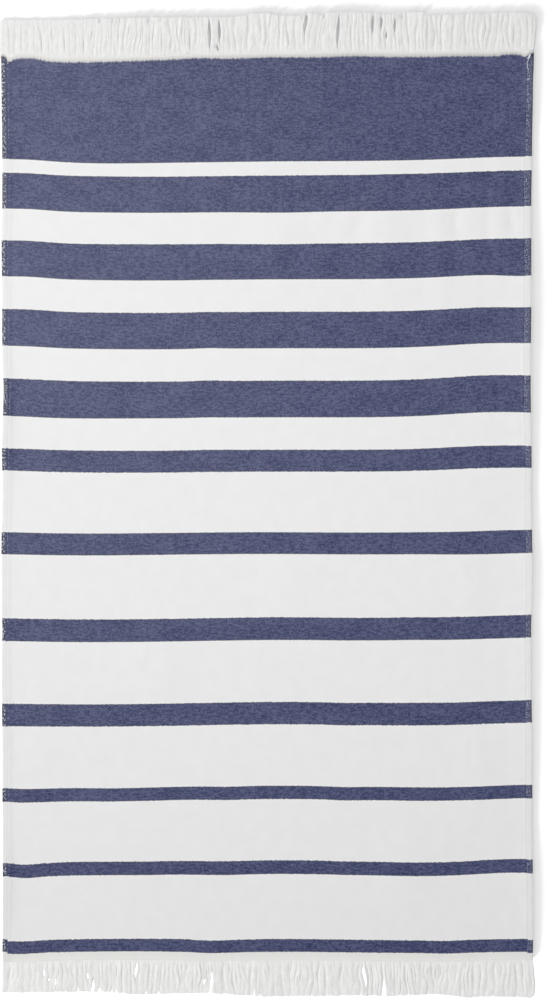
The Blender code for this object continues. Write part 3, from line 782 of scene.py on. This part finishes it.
def clothPiece():
    # The top is a grid across and along. The underside is a coarser one with the same outline,
    # and each woven end is closed by a row of faces between the two.
    v = linesAlong()
    left, right = leftEdge(v), rightEdge(v)
    leftLines, rightLines = hemLines(v, 1), hemLines(v, 2)
    shares = np.arange(1, grid["plainAcross"])[:, None] / grid["plainAcross"]
    start, end = left + leftLines[-1], right - rightLines[-1]
    x = np.concatenate([left + leftLines, start + (end - start) * shares, right - rightLines[::-1]])
    v = np.broadcast_to(v, x.shape)
    top, bottom, hem, onLeft = heights(x, v)
    y = v + weftShift(x, v)
    u = towel["width"] * ((x - left) / (right - left) - 0.5)

    every = grid["underEvery"]
    number = np.arange(x.size).reshape(x.shape)
    under = number[::every].copy()
    inner = under[1:-1]
    under[1:-1] = x.size + np.arange(inner.size).reshape(inner.shape)
    lower = [values[::every][1:-1].ravel() for values in (x, y, bottom)]
    points = np.concatenate([
        np.stack([x, y, top], axis=-1).reshape(-1, 3),
        np.stack(lower, axis=-1),
    ])

    shifts = towel["hemShifts"]
    shift = np.where(onLeft, eased(shifts, 1, v), eased(shifts, 2, v))
    past = smoothstep((hem - towel["shiftUntil"]) / towel["shiftFade"])
    pattern = np.stack([u, v - shift * (1.0 - past)], axis=-1)
    pattern = np.concatenate([pattern.reshape(-1, 2), pattern[::every][1:-1].reshape(-1, 2)])
    hem = np.minimum(hem, towel["farthestShare"])
    hem = np.concatenate([hem.ravel(), hem[::every][1:-1].ravel()])

    # at each woven end a face has two points of the underside and three of the top, but four
    # in all at the corners, where the two meet
    above = np.stack([number[:-1, :-1], number[1:, :-1], number[1:, 1:], number[:-1, 1:]], axis=-1)
    below = np.stack([under[:-1, :-1], under[:-1, 1:], under[1:, 1:], under[1:, :-1]], axis=-1)
    quads, fives = [above.reshape(-1, 4), below.reshape(-1, 4)], []
    for row, turned in ((0, 1), (-1, -1)):
        low, high = under[:, row], number[:, row]
        closing = [low[:-1], low[1:], high[2::2], high[1::2], high[:-1:2]]
        closing = np.stack(closing, axis=-1)
        fives.append(closing[1:-1, ::turned])
        quads.append(closing[:1, :4][:, ::turned])
        quads.append(closing[-1:, [0, 1, 3, 4]][:, ::turned])
    faces = [np.concatenate(quads), np.concatenate(fives)]
    places = [pattern[group] for group in faces]
    material, sharpest = clothMaterial(), grid["sharpest"]
    piece = makePiece("towelCloth", points, faces, places, material, sharpest, {"hem": hem})
    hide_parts("towel_cloth")
    return piece


fringe = {
    "seed": 7,
    "swayPower": 1.5,
    "swayFade": 0.012,
    "cornerSpread": 0.0081,
    "cornerBack": (1.8, 12),  # how far the corner bends back, and with which power of s
    "partingReach": 0.024,
    "stations": [-0.07, 0.0, 0.06, 0.13, 0.21, 0.30, 0.40, 0.50, 0.61, 0.72, 0.83, 0.93, 1.0],
    # from below: yarns, half width, height and root height of their middles, mound of a bundle,
    # fewest and most yarns in a bundle
    "layers": [
        (230, 0.0027, 0.00060, 0.0008, 0.0, 3, 5),
        (300, 0.0023, 0.00100, 0.0012, 0.0, 3, 5),
        (300, 0.0025, 0.00240, 0.0018, 0.0005, 2, 4),
    ],
    "flatness": 0.22,
    "sides": 6,
    "sharpest": 80.0,  # steeper edges than this stay sharp, in degrees
    "clearance": 0.007,  # beside a parting the yarns keep straight
    "cornerKeep": 0.012,  # and this near the long edges
    "halfCleared": 0.87,  # how much of its half width a yarn keeps out of an opening
    "leastOpening": 0.00001,  # so that nothing is divided by zero where an opening is shut
    "leanBy": 0.15,  # an opening's lean sets in over this share of a yarn
    "slitReach": 0.006,
    "gather": 0.18,  # how far each bundle draws together
    "gatherRange": (0.4, 1.6),
    "gatherBy": 0.3,  # from this share of its length on
    # waves that run through the yarns side by side: number, height, shortest and longest across
    "drifts": 7,
    "drift": 0.0007,
    "driftAcross": (0.030, 0.110),
    "driftTurns": 1.4,
    "driftSeeds": 1000,  # how many there are to draw from
    "rootStray": 0.2,  # how far a root lies off its even place, as a share of the pitch
    "bundleLean": 0.0019,
    "lowerLean": 0.4,  # how much of that the lower layers have
    "bundleWander": 0.0006,
    "yarnWander": 0.0005,
    # fewest and most waves along a yarn, of the bundles and of single yarns, as they wander
    # sideways and as they rise and fall
    "wanderWaves": [(0.6, 1.7), (0.8, 2.0)],
    "riseWaves": [(0.4, 1.2), (0.5, 1.6)],
    "bundleRagged": 0.0007,
    "yarnRagged": 0.0006,
    "bundleRise": 0.00038,
    "bundleTilt": 0.00020,
    "bundleTone": 0.012,
    "yarnTone": 0.004,
    "yarnRise": 0.00030,
    "edgeCalm": 0.010,  # this near the long edges the bundles lie flatter
    "openedBy": 0.16,  # from this share of its length on a yarn lies in its own layer
    "standPower": 1.3,
    "droopFrom": 0.4,
    "bulges": (0.05, 3.0),  # height, and how many along a yarn
    "inCloth": (0.70, 0.30, -0.02, 0.12),  # thickness there, the rest, from where, over what share
    "taper": (0.25, 0.90, 0.10),  # what the tip loses, from where, over what share
    "girth": (0.88, 1.12),
}

ends = {
    "fringeHead": {
        "node": "fringe_head",
        "way": 1,
        # the yarns' tone falls from left to right, a painted light fall-off; the head's fringe is
        # also a little darker than the foot's
        "tone": (0.965, 0.940),  # at the left and at the right
        "trim": 0.0006,  # the ragged tips reach past this line
        # x, how far the tips stand off the surface, how much thinner the fringe gets there, and
        # how much its bundles stand out
        "lie": [
            (-0.455, 0.0, 0.8, 0.75), (-0.370, 0.0, 0.8, 0.8), (-0.290, 0.0011, 0.6, 0.9),
            (-0.200, 0.0017, 0.4, 1.1), (0.000, 0.0015, 0.3, 1.2), (0.455, 0.0014, 0.3, 1.2),
        ],
        "y": towel["headEnd"],
        # x, y of the tips
        "tips": [
            (-0.455, 0.8248), (-0.290, 0.8258), (-0.220, 0.8284), (-0.060, 0.8290),
            (-0.040, 0.8312), (-0.028, 0.8355), (0.000, 0.8362), (0.012, 0.8325),
            (0.038, 0.8311), (0.054, 0.8320), (0.066, 0.8365), (0.084, 0.8360),
            (0.091, 0.8318), (0.104, 0.8365), (0.137, 0.8385), (0.199, 0.8338),
            (0.250, 0.8380), (0.264, 0.8378), (0.268, 0.8315), (0.305, 0.8325),
            (0.347, 0.8353), (0.434, 0.8366), (0.447, 0.8335), (0.456, 0.8255),
        ],
        # x, width, where along the yarns it is widest, over what share of them, lean
        "partings": [
            (-0.098, 0.0056, 0.58, 0.46, 0.002), (-0.081, 0.0042, 0.64, 0.38, 0.001),
            (0.063, 0.0054, 0.78, 0.30, 0.009), (0.1195, 0.0054, 0.54, 0.52, 0.006),
            (0.179, 0.0050, 0.78, 0.32, 0.006), (0.218, 0.0046, 0.70, 0.26, 0.010),
        ],
        # the same for narrower slits, which the solids leave out
        "slits": [
            (-0.2888, 0.0026, 0.96, 0.10, 0.0), (-0.2650, 0.0022, 0.96, 0.12, 0.01),
            (-0.2590, 0.0022, 0.96, 0.12, -0.01), (-0.2530, 0.0022, 0.96, 0.10, 0.0),
            (-0.2054, 0.0026, 0.96, 0.12, 0.01), (-0.1833, 0.0026, 0.96, 0.10, 0.0),
            (-0.0846, 0.0032, 0.18, 0.14, -0.017), (0.0906, 0.0040, 0.98, 0.12, 0.0),
            (0.1944, 0.0046, 0.80, 0.28, 0.0), (0.2029, 0.0040, 0.45, 0.15, 0.008),
            (0.2335, 0.0022, 0.96, 0.12, 0.0), (0.2658, 0.0022, 0.96, 0.10, 0.0),
        ],
        # wave length, sway, phase
        "sway": [(0.310, 0.0032, 0.4), (0.097, 0.0018, 1.9), (0.041, 0.0010, 0.2)],
    },
    "fringeFoot": {
        "node": "fringe_foot",
        "way": -1,
        # the yarns' tone falls a little from left to right, a painted light fall-off
        "tone": (1.030, 1.005),
        "trim": 0.0,
        "lie": [
            (-0.455, 0.0, 0.6, 1.1), (-0.100, 0.0, 0.5, 1.2), (0.300, 0.0, 0.5, 1.3),
            (0.455, 0.0006, 0.4, 1.3),
        ],
        "y": towel["footEnd"],
        "tips": [
            (-0.455, -0.8302), (-0.277, -0.8285), (-0.224, -0.8335), (-0.107, -0.8307),
            (-0.005, -0.8370), (0.160, -0.8352), (0.208, -0.8362), (0.290, -0.8330),
            (0.339, -0.8387), (0.378, -0.8368), (0.455, -0.8387),
        ],
        "partings": [
            (-0.300, 0.0054, 0.90, 0.38, -0.014), (-0.224, 0.0042, 0.32, 0.26, -0.012),
            (-0.0965, 0.0034, 0.72, 0.50, -0.0066), (0.1637, 0.0050, 0.42, 0.34, 0.011),
            (0.196, 0.0058, 0.90, 0.38, -0.003),
        ],
        "slits": [
            (-0.3815, 0.0046, 0.40, 0.15, 0.004), (-0.3721, 0.0024, 0.60, 0.07, 0.0),
            (-0.3611, 0.0026, 0.70, 0.12, -0.004), (-0.3092, 0.0034, 0.50, 0.13, -0.014),
            (-0.2862, 0.0052, 1.00, 0.16, 0.0), (-0.2650, 0.0032, 1.00, 0.10, 0.0),
            (-0.2581, 0.0034, 1.00, 0.12, -0.01), (-0.2037, 0.0036, 1.00, 0.10, 0.0),
            (-0.1816, 0.0032, 1.00, 0.10, 0.01), (-0.1068, 0.0034, 0.65, 0.14, -0.008),
            (-0.0149, 0.0026, 1.00, 0.08, 0.0), (0.2240, 0.0024, 1.00, 0.08, 0.0),
        ],
        "sway": [(0.270, 0.0028, 2.6), (0.083, 0.0019, 0.7), (0.037, 0.0010, 4.1)],
    },
}


def yarnLines(end, roots, s, halfYarn):
    # Each yarn starts at its root, sways by sine waves that grow as a power of s, keeps clear of
    # each parting or slit, and at the right-hand corner swells out and bends back. A yarn at the
    # distance a from an opening moves to a + e exp(-a / e), which is never less than e. That is
    # half of the opening and half of the yarn, times a Gaussian along the yarns.
    roots, s = roots[:, None], np.clip(s, 0.0, 1.0)[None, :]
    edge = towel["width"] / 2
    fade = 1.0 - np.exp(-(edge - np.abs(roots)) / fringe["swayFade"])
    sway = sum(
        reach * np.sin(2 * math.pi * roots / length + phase) for length, reach, phase in end["sway"]
    )
    across = roots + fade * sway * s ** fringe["swayPower"]
    for openings, reach in ((end["partings"], "partingReach"), (end["slits"], "slitReach")):
        for partX, width, along, spread, lean in openings:
            away = roots - partX
            level = np.exp(-(((s - along) / spread) ** 2))
            edgeAway = (width / 2 + halfYarn) * level + fringe["leastOpening"]
            across = across + np.sign(away) * edgeAway * np.exp(-np.abs(away) / edgeAway)
            leaning = lean * (s - along) * smoothstep(s / fringe["leanBy"]) * level
            across = across + leaning * np.exp(-np.abs(away) / fringe[reach])
    back, power = fringe["cornerBack"]
    bulge = fringe["cornerSpread"] * s * (1.0 - back * s**power)
    return across + bulge * np.exp(-(edge - roots) / fringe["swayFade"])


def drifts(draw, roots, s):  # sine waves across and along the yarns, none at the roots
    total = 0.0
    shortest, longest = fringe["driftAcross"]
    for _ in range(fringe["drifts"]):
        length = shortest * (longest / shortest) ** draw.random()
        turns, phase = draw.uniform(-1.0, 1.0) * fringe["driftTurns"], draw.uniform(0, 2 * math.pi)
        start = 2 * math.pi * roots[:, None] / length + phase
        total = total + np.sin(start + 2 * math.pi * turns * s) - np.sin(start)
    return fringe["drift"] * total


fringeLook = {
    "yarn": (0.865, 0.864, 0.858),
    "roughness": 0.75,
    "sheen": 0.10,
    "slubs": 75.0,  # in a metre of yarn
    "slubTone": 0.22,
    "twistPitch": 0.0023,
    "twistHeight": 0.00010,
    "twistStrength": 0.3,
}

# the same for every yarn: a noise is its blobs round and along the yarn, and the rest as above
yarnNature = {
    "specular": 0.4,
    "sheenRoughness": 0.5,
    "fluff": (3.0, 900.0, 2.0, 2.0),
    "heights": (0.5, 0.8),  # of the twist and the fluff
    "tones": (0.01, 0.05),  # of the same
    "roughnessRange": 0.2,
    "slubField": (5.0, 2.0),  # how far away it is read, and its detail
    "slubsRound": 2.0,
    "ownPlace": (211.0, 37.0),  # how far the yarn's shade moves it in the noise, round and along
}


def yarnMaterial(name, look, base):
    # one colour times each yarn's own shade, with its twist, its fluff and its slubs
    material, shader = newMaterial(name, {
        "Specular IOR Level": yarnNature["specular"],
        "Sheen Weight": look["sheen"],
        "Sheen Roughness": yarnNature["sheenRoughness"],
    })
    at = patternPlace(material)
    turn, run, shade = at.part(0), at.part(1), attribute(at, "shade")
    twist = (turn * (4 * math.pi) + run * (2 * math.pi / look["twistPitch"])).cosine()
    fluff = at.noise(*yarnNature["fluff"])
    # each yarn has its own place in the noise
    byRound, byLength = yarnNature["ownPlace"]
    ownPlace = {0: turn + shade * byRound, 1: run + shade * byLength}
    own = at.add("ShaderNodeCombineXYZ", None, ownPlace)
    slubs = own.noise(yarnNature["slubsRound"], look["slubs"], *yarnNature["slubField"])
    ofTwist, ofFluff = yarnNature["heights"]
    height = twist * ofTwist + fluff * ofFluff
    bump = bumps(at, look["twistStrength"], look["twistHeight"], height)
    ofTwist, ofFluff = yarnNature["tones"]
    tone = shade * (1.0 - ofTwist + twist * ofTwist) * (1.0 + (fluff - 0.5) * ofFluff)
    tone = tone * (1.0 + (slubs - 0.5) * look["slubTone"])
    plain = at.add("ShaderNodeCombineXYZ", None, dict(enumerate(base)))
    roughness = look["roughness"] + (fluff - 0.5) * yarnNature["roughnessRange"]
    connect(shader, Base_Color=plain.tinted(tone), Roughness=roughness, Normal=bump)
    return material


def waving(draw, waves, count, along):  # for each yarn a sine wave with its own length and start
    turns = draw.uniform(*waves, (count, 1)) * along + draw.random((count, 1))
    return np.sin(2 * math.pi * turns)


def yarnLayer(end, layer, drift, draw):
    # One layer of yarns side by side in bundles. A bundle draws together, mounds up, and leans
    # and wanders as one. Gives the paths, the radii, the tilt and the tone of each yarn.
    count, halfWidth, height, rootHeight, mound, fewest, most = layer
    left, right = float(leftEdge(end["y"])), float(rightEdge(end["y"]))
    s = np.array(fringe["stations"])
    along = np.clip(s, 0.0, 1.0)
    pitch = (right - left - 2 * halfWidth) / (count - 1)
    stray = draw.uniform(-fringe["rootStray"], fringe["rootStray"], count)
    roots = left + halfWidth + pitch * (np.arange(count) + stray)
    openings = np.sort([opening[0] for opening in end["partings"] + end["slits"]])
    nearest = np.abs(roots[:, None] - openings).min(axis=1)
    ended = np.isin(np.arange(count), np.cumsum(draw.integers(fewest, most + 1, count)))
    parted = np.diff(np.searchsorted(openings, roots), prepend=0) > 0
    bundle = np.cumsum(ended | parted)
    sizes = np.bincount(bundle)
    spot = (np.arange(count) - (np.cumsum(sizes) - sizes)[bundle] + 0.5) / sizes[bundle] * 2 - 1
    inside = np.minimum(roots - left, right - roots)
    free = 1.0 - np.exp(-((nearest / fringe["clearance"]) ** 2))
    free = free * smoothstep(inside / fringe["cornerKeep"])
    loose = mound > 0
    lean = draw.normal(0.0, fringe["bundleLean"], count)[bundle, None] * along
    lean = lean * (1.0 if loose else fringe["lowerLean"])
    ofBundles, ofYarns = fringe["wanderWaves"]
    wander = fringe["bundleWander"] * along * waving(draw, ofBundles, count, along)[bundle]
    wander = wander + fringe["yarnWander"] * along * waving(draw, ofYarns, count, along)
    gather = -spot * sizes[bundle] * pitch / 2 * fringe["gather"]
    gather = gather * draw.uniform(*fringe["gatherRange"], count)[bundle] * loose
    gather = gather[:, None] * smoothstep(along / fringe["gatherBy"])
    x = yarnLines(end, roots, s, fringe["halfCleared"] * halfWidth) + gather
    x = x + free[:, None] * (drift(roots, along) + lean + wander)

    tips = np.interp(x[:, -1], *np.array(end["tips"]).T) - end["way"] * end["trim"]
    tips = tips + draw.uniform(-1.0, 1.0, count)[bundle] * fringe["bundleRagged"]
    tips = tips + draw.uniform(-1.0, 1.0, count) * fringe["yarnRagged"]
    starts = wovenEnd(end["way"]) + weftShift(x[:, 0], end["y"])
    y = starts[:, None] + s * (tips - starts)[:, None]

    opened = smoothstep(along / fringe["openedBy"])
    ofBundles, ofYarns = fringe["riseWaves"]
    rise = fringe["bundleRise"] * waving(draw, ofBundles, count, along)[bundle]
    turned = draw.normal(0.0, fringe["bundleTilt"], count)[bundle]
    shown = eased(end["lie"], 3, roots) * loose * smoothstep(inside / fringe["edgeCalm"])
    rise = rise + fringe["yarnRise"] * waving(draw, ofYarns, count, along)
    level = shown * (turned * spot - mound * spot**2)
    high = height + level[:, None] + shown[:, None] * rise
    slope = shown * (turned - 2 * mound * spot) * 2 / (sizes[bundle] * pitch)
    low = halfWidth * fringe["flatness"]
    stand = eased(end["lie"], 1, roots)[:, None] * along ** fringe["standPower"]
    start = fringe["droopFrom"]
    droop = 1.0 - eased(end["lie"], 2, roots)[:, None] * smoothstep((s - start) / (1.0 - start))
    high = low + (np.maximum(high, low) - low) * droop
    z = rootHeight * (1.0 - opened) + (high + stand) * opened
    tilt = end["way"] * np.arctan(slope)[:, None] * opened * droop
    z = np.maximum(z, low + halfWidth * np.abs(np.sin(tilt)))  # clear of the surface

    bulging, bulges = fringe["bulges"]
    bulge = 1.0 + bulging * np.sin(2 * math.pi * (bulges * s + draw.random((count, 1))))
    least, more, start, over = fringe["inCloth"]
    inCloth = least + more * smoothstep((s - start) / over)
    loss, start, over = fringe["taper"]
    tapered = 1.0 - loss * smoothstep((s - start) / over)
    radii = halfWidth * draw.uniform(*fringe["girth"], (count, 1)) * bulge * inCloth * tapered
    tone = 1.0 + draw.normal(0.0, fringe["bundleTone"], count)[bundle]
    tone = tone + draw.normal(0.0, fringe["yarnTone"], count)
    # painted light: each yarn's tone times a fall-off from the left to the right
    paintedLightLeft, paintedLightRight = end["tone"]
    tone = tone * (paintedLightLeft + (paintedLightRight - paintedLightLeft) * (roots - left) / (right - left))
    return np.stack([x, y, z], axis=-1), radii, tilt, tone


def fringePiece(name, end, material):
    draw = np.random.default_rng(fringe["seed"] + end["way"])
    driftSeed = draw.integers(fringe["driftSeeds"])

    def drift(roots, s):  # the same for all layers
        return drifts(np.random.default_rng(driftSeed), roots, s)

    layers = [yarnLayer(end, layer, drift, draw) for layer in fringe["layers"]]
    paths, radii, tilt, tones = (np.concatenate(parts) for parts in zip(*layers))
    points, faces, places = tubes(paths, radii, fringe["sides"], fringe["flatness"], tilt)
    shade = np.repeat(tones, radii.shape[1] * fringe["sides"])
    sharpest = fringe["sharpest"]
    piece = makePiece(name, points, faces, places, material, sharpest, {"shade": shade})
    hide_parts(end["node"])
    return piece


threadLook = {
    "thread": (0.79, 0.81, 0.89),
    "roughness": 0.6,
    "sheen": 0.0,
    "slubs": 75.0,
    "slubTone": 0.0,
    "twistPitch": 0.0009,
    "twistHeight": 0.00005,
    "twistStrength": 0.4,
}


def stitchPiece():
    # Each stitch is a short tube that arches over the cloth and dives into it at both ends.
    draw = np.random.default_rng(stitching["seed"])
    pitch, fromEnds, sides = stitching["pitch"], stitching["fromEnds"], stitching["sides"]
    first = math.ceil((towel["footEnd"] + fromEnds) / pitch)
    last = math.floor((towel["headEnd"] - fromEnds) / pitch)
    middles = (np.arange(first, last) + 0.5) * pitch
    share, rise, thick = np.array(stitching["sections"]).T
    rise, thick = rise * stitching["arch"], thick * stitching["radius"]
    paths, radii = [], []
    for column, onTop in ((1, True), (2, True), (1, False), (2, False)):
        at = middles if onTop else middles + pitch / 2
        each = (len(at), 1)
        long = stitching["length"] * draw.uniform(*stitching["lengthRange"], each)
        v = at[:, None] + long * share
        offset = eased(stitching["line"], column, v)
        x = leftEdge(v) + offset if column == 1 else rightEdge(v) - offset
        x = x + draw.normal(0.0, stitching["stray"], each)
        x = x + draw.normal(0.0, stitching["skew"], each) * 2 * share
        top, bottom = heights(x, v)[:2]
        sunk = stitching["sunk"][column - 1] * draw.random(each)
        under = bottom - rise * stitching["underArch"] - stitching["underGap"]
        z = top + rise - sunk if onTop else under
        paths.append(np.stack([x, v + weftShift(x, v), z], axis=-1))
        radii.append(np.broadcast_to(thick, x.shape) * draw.uniform(*stitching["girth"], each))
    tacks = np.array(stitching["tacks"])[:, :, None]
    x = tacks[:, 0] + (tacks[:, 2] - tacks[:, 0]) * (share + 0.5)
    y = tacks[:, 1] + (tacks[:, 3] - tacks[:, 1]) * (share + 0.5)
    paths.append(np.stack([x, y, tacks[:, 4] + rise], axis=-1))
    radii.append(np.broadcast_to(tacks[:, 5], x.shape))
    paths, radii = np.concatenate(paths), np.concatenate(radii)
    points, faces, places = tubes(paths, radii, sides, stitching["flatness"])
    tones = draw.normal(1.0, stitching["toneSpread"], len(paths))
    shade = np.repeat(tones, len(share) * sides)
    material = yarnMaterial("stitching_thread", threadLook, threadLook["thread"])
    piece = makePiece("hemStitching", points, faces, places, material, None, {"shade": shade})
    return piece


# the pieces

cloth = clothPiece()
print("cloth woven:", len(cloth.data.polygons), "faces")

yarn = yarnMaterial("loose_yarn", fringeLook, fringeLook["yarn"])
fringes = [fringePiece(name, end, yarn) for name, end in ends.items()]
print("fringes tied:", sum(len(piece.data.polygons) for piece in fringes), "faces")

stitches = stitchPiece()
print("hems stitched:", len(stitches.data.polygons), "faces")

flatLength = wovenEnd(1) - wovenEnd(-1)


# floor, light and camera

studio = {
    "floor": colour(0.50, 0.50, 0.50),
    "floorGlow": 0.25,
    "floorSize": 1000.0,
    "floorHeight": -0.0002,
    "world": 0.22,
    "sunDistance": 4.0,
    # turn from +X anticlockwise and height of the light, in degrees; its spread; strength
    "suns": [(222.0, 28.0, 40.0, 0.70), (140.0, 66.0, 40.0, 1.19)],
    # these light the floor alone
    "floorSuns": [(225.0, 7.0, 13.0, 18.5), (225.0, 26.0, 28.0, 2.2)],
    "fringeSun": (45.0, 22.0, 20.0, 4.9),  # and this one lights it all but behind the head fringe
    # soft boxes, over the top left corner and, weak and narrow, over the right half: place, what
    # they aim at, side, power, spread in degrees
    "boxes": [
        ((-1.2, 0.8, 3.0), (0.0, 0.0, 0.0), 1.6, 36.0, 180.0),
        ((0.7, 0.15, 3.0), (0.25, 0.08, 0.0), 0.5, 0.12, 36.0),
    ],
}

photo = {
    "metresPerPixel": 0.0017013,
    "size": (548, 1000),
    "towelMiddle": (267.75, 504.5),  # where the towel's own origin is in the picture
    "cameraHeight": 3.2,
    "sensorWidth": 36.0,  # in mm
}


def makeFloor():
    half = studio["floorSize"] / 2
    corners = [(-half, -half), (half, -half), (half, half), (-half, half)]
    mesh = bpy.data.meshes.new("floor")
    mesh.from_pydata([(x, y, studio["floorHeight"]) for x, y in corners], [], [(0, 1, 2, 3)])
    material = bpy.data.materials.new("pale_floor")
    material.use_nodes = True
    shader = material.node_tree.nodes["Principled BSDF"]
    shader.inputs["Base Color"].default_value = studio["floor"]
    shader.inputs["Roughness"].default_value = 1.0
    shader.inputs["Specular IOR Level"].default_value = 0.0
    shader.inputs["Emission Color"].default_value = colour(1.0, 1.0, 1.0)
    shader.inputs["Emission Strength"].default_value = studio["floorGlow"]
    mesh.materials.append(material)
    floor = bpy.data.objects.new("floor", mesh)
    bpy.context.scene.collection.objects.link(floor)
    return floor


def addLight(name, kind, place, direction, **settings):
    light = bpy.data.lights.new(name, kind)
    for key, value in settings.items():
        setattr(light, key, value)
    lamp = bpy.data.objects.new(name, light)
    lamp.location = place
    lamp.rotation_euler = direction.to_track_quat("-Z", "Y").to_euler()
    bpy.context.scene.collection.objects.link(lamp)
    return lamp


def addSun(name, turn, height, spread, strength):
    turn, height = math.radians(turn), math.radians(height)
    flat = math.cos(height)
    source = Vector((flat * math.cos(turn), flat * math.sin(turn), math.sin(height)))
    angle = math.radians(spread)
    away = source * studio["sunDistance"]
    return addLight(name, "SUN", away, -source, energy=strength, angle=angle)


def group(name, members):
    collection = bpy.data.collections.new(name)
    for member in members:
        collection.objects.link(member)
    return collection


def makeLights(floor):
    # The towel's lights and the floor's are apart. The thin fringe at the foot lets the floor's
    # light through, so that its openings show the floor as bright as it is around the towel.
    towelOnly = group("towelOnly", [cloth, *fringes, stitches])
    floorOnly = group("floorOnly", [floor])
    casting = group("casting", [cloth, fringes[0], stitches])
    fringeOnly = group("fringeOnly", [fringes[0]])
    lamps = [addSun(f"sun{number}", *sun) for number, sun in enumerate(studio["suns"])]
    for number, (boxPlace, aim, side, power, spread) in enumerate(studio["boxes"]):
        direction = Vector(aim) - Vector(boxPlace)
        settings = {"energy": power, "size": side, "shape": "SQUARE", "spread": math.radians(spread)}
        lamps.append(addLight(f"softBox{number}", "AREA", boxPlace, direction, **settings))
    for lamp in lamps:
        lamp.light_linking.receiver_collection = towelOnly
    suns = [(sun, casting) for sun in studio["floorSuns"]] + [(studio["fringeSun"], fringeOnly)]
    for number, (sun, blockers) in enumerate(suns):
        lamp = addSun(f"floorSun{number}", *sun)
        lamp.light_linking.receiver_collection = floorOnly
        lamp.light_linking.blocker_collection = blockers
    world = bpy.data.worlds.new("studio")
    world.use_nodes = True
    background = world.node_tree.nodes["Background"]
    background.inputs["Color"].default_value = colour(1.0, 1.0, 1.0)
    background.inputs["Strength"].default_value = studio["world"]
    bpy.context.scene.world = world


def makeCamera():
    scale = photo["metresPerPixel"]
    acrossPixels = photo["size"][0] / 2 - photo["towelMiddle"][0]
    upPixels = photo["towelMiddle"][1] - photo["size"][1] / 2
    data = bpy.data.cameras.new("camera")
    data.sensor_width = photo["sensorWidth"]
    data.lens = data.sensor_width * photo["cameraHeight"] / (photo["size"][1] * scale)
    camera = bpy.data.objects.new("camera", data)
    camera.location = (
        acrossPixels * scale + place[0],
        upPixels * scale + place[1],
        photo["cameraHeight"] + towel["thickness"],
    )
    bpy.context.scene.collection.objects.link(camera)
    bpy.context.scene.camera = camera
    bpy.context.scene.view_settings.view_transform = "Standard"


makeLights(makeFloor())
makeCamera()
print("floor, lights and camera set")
